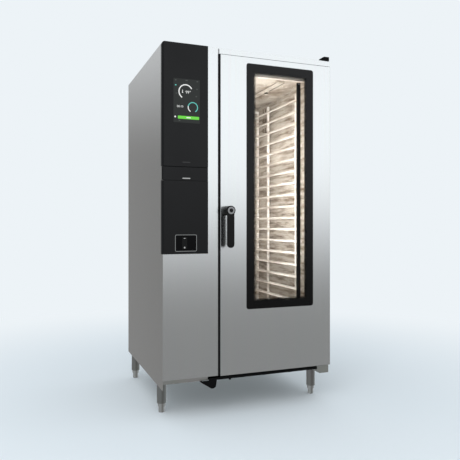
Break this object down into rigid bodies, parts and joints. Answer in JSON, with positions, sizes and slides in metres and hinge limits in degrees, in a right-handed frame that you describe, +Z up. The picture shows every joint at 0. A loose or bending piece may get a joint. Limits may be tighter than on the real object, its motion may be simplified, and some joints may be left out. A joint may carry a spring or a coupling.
{
  "type": "combi steamer oven",
  "caption": "Floor-standing combi steamer oven with a glazed side-hinged door, black control column, cavity with a tray rack, and adjustable feet.",
  "frame": {"origin": "on the floor under the middle of the oven's plan", "axes": "+X to the right of someone facing the door, +Y to the back, +Z up"},
  "size_m": [0.9345, 0.9655, 1.862],
  "materials": {
    "brushed_stainless": "brushed, grain along the panel",
    "polished_stainless": "bright rolled",
    "base_steel": "satin",
    "black_fascia": "black glass-like, smooth",
    "display_glass": "lit touch screen behind glass",
    "tinted_glass": "toughened, black printed border",
    "clear_glass": "heat-reflecting",
    "light_bar": "black housing of the LED strip",
    "gasket_rubber": "silicone",
    "black_plastic": "moulded, fine texture",
    "grey_plastic": "moulded",
    "mineral_wool": "pressed slab",
    "cast_motor": "painted casting",
    "heater_steel": "heat-tinted",
    "brass": "turned",
    "zinc_steel": "zinc plated",
    "circuit_board": "lacquered board"
  },
  "bodies": {
    "cabinet": {"base_rail": "base_steel", "base_tray": "base_steel", "cable_gland": "grey_plastic", "cavity_insulation": "mineral_wool", "cavity_liner": "polished_stainless", "column_front_panel": "brushed_stainless", "connection_panel": "brushed_stainless", "control_fascia": "black_fascia", "cooling_fan_housing": "black_plastic", "display_panel": "display_glass", "door_gasket": "gasket_rubber", "drain_outlet": "base_steel", "drip_tray": "black_plastic", "fan_baffle": "polished_stainless", "fan_motors": "cast_motor", "front_frame": "polished_stainless", "heating_coils": "heater_steel", "latch_catch": "zinc_steel", "left_side_panel": "brushed_stainless", "leg_tubes": "polished_stainless", "lower_fascia": "black_fascia", "lower_hinge_bracket": "base_steel", "main_board": "circuit_board", "rack_frame": "polished_stainless", "rack_ladder_left": "polished_stainless", "rack_ladder_right": "polished_stainless", "rear_panel": "brushed_stainless", "right_side_panel": "brushed_stainless", "rocker_bezel": "black_fascia", "socket_plate": "black_plastic", "steam_generator": "base_steel", "steam_pipe": "polished_stainless", "steam_vent_pipe": "base_steel", "top_panel": "brushed_stainless", "top_rail": "brushed_stainless", "upper_hinge_bracket": "zinc_steel", "upper_hinge_cap": "black_plastic", "wash_channel": "polished_stainless", "water_inlet_valve": "brass"},
    "door": {"door_skin": "brushed_stainless", "door_inner_frame": "polished_stainless", "outer_glass": "tinted_glass", "inner_glass": "clear_glass", "door_light_bar": "light_bar", "glass_clips": "zinc_steel", "hinge_bushes": "brass"},
    "handle": {"handle_hub": "black_plastic", "handle_lever": "black_plastic", "handle_ring": "grey_plastic", "latch_spindle": "zinc_steel"},
    "service_flap": {"service_flap": "black_fascia"},
    "power_rocker": {"power_rocker": "black_plastic"},
    "fan_upper": {"fan_wheel_upper": "polished_stainless"},
    "fan_lower": {"fan_wheel_lower": "polished_stainless"},
    "cooling_fan": {"cooling_fan_rotor": "black_plastic"},
    "vent_damper": {"vent_damper": "polished_stainless"},
    "foot_front_left": {"foot_front_left": "zinc_steel"},
    "foot_front_right": {"foot_front_right": "zinc_steel"},
    "foot_rear_left": {"foot_rear_left": "zinc_steel"},
    "foot_rear_right": {"foot_rear_right": "zinc_steel"}
  },
  "joints": [
    {"name": "door_hinge", "type": "hinge", "parent": "cabinet", "child": "door", "pos_m": [0.44, -0.395, 1.003], "axis": [0, 0, 1], "range_deg": [0, 170]},
    {"name": "handle_turn", "type": "hinge", "parent": "door", "child": "handle", "pos_m": [-0.137, -0.441, 1.025], "axis": [0, 1, 0], "range_deg": [-45, 45]},
    {"name": "service_flap_hinge", "type": "hinge", "parent": "cabinet", "child": "service_flap", "pos_m": [-0.353, -0.416, 1.2345], "axis": [1, 0, 0], "range_deg": [-90, 0]},
    {"name": "power_rocker_pivot", "type": "hinge", "parent": "cabinet", "child": "power_rocker", "pos_m": [-0.35, -0.41, 0.865], "axis": [1, 0, 0], "range_deg": [-7, 7]},
    {"name": "fan_upper_spin", "type": "hinge", "parent": "cabinet", "child": "fan_upper", "pos_m": [-0.2, 0.05, 1.375], "axis": [1, 0, 0], "continuous": true},
    {"name": "fan_lower_spin", "type": "hinge", "parent": "cabinet", "child": "fan_lower", "pos_m": [-0.2, 0.05, 0.665], "axis": [1, 0, 0], "continuous": true},
    {"name": "cooling_fan_spin", "type": "hinge", "parent": "cabinet", "child": "cooling_fan", "pos_m": [-0.34, 0.46, 0.96], "axis": [0, 1, 0], "continuous": true},
    {"name": "vent_damper_turn", "type": "hinge", "parent": "cabinet", "child": "vent_damper", "pos_m": [0.06, 0.33, 1.802], "axis": [1, 0, 0], "range_deg": [0, 90]},
    {"name": "foot_front_left_screw", "type": "slide", "parent": "cabinet", "child": "foot_front_left", "axis": [0, 0, -1], "range_m": [0, 0.02]},
    {"name": "foot_front_right_screw", "type": "slide", "parent": "cabinet", "child": "foot_front_right", "axis": [0, 0, -1], "range_m": [0, 0.02]},
    {"name": "foot_rear_left_screw", "type": "slide", "parent": "cabinet", "child": "foot_rear_left", "axis": [0, 0, -1], "range_m": [0, 0.02]},
    {"name": "foot_rear_right_screw", "type": "slide", "parent": "cabinet", "child": "foot_rear_right", "axis": [0, 0, -1], "range_m": [0, 0.02]}
  ]
}
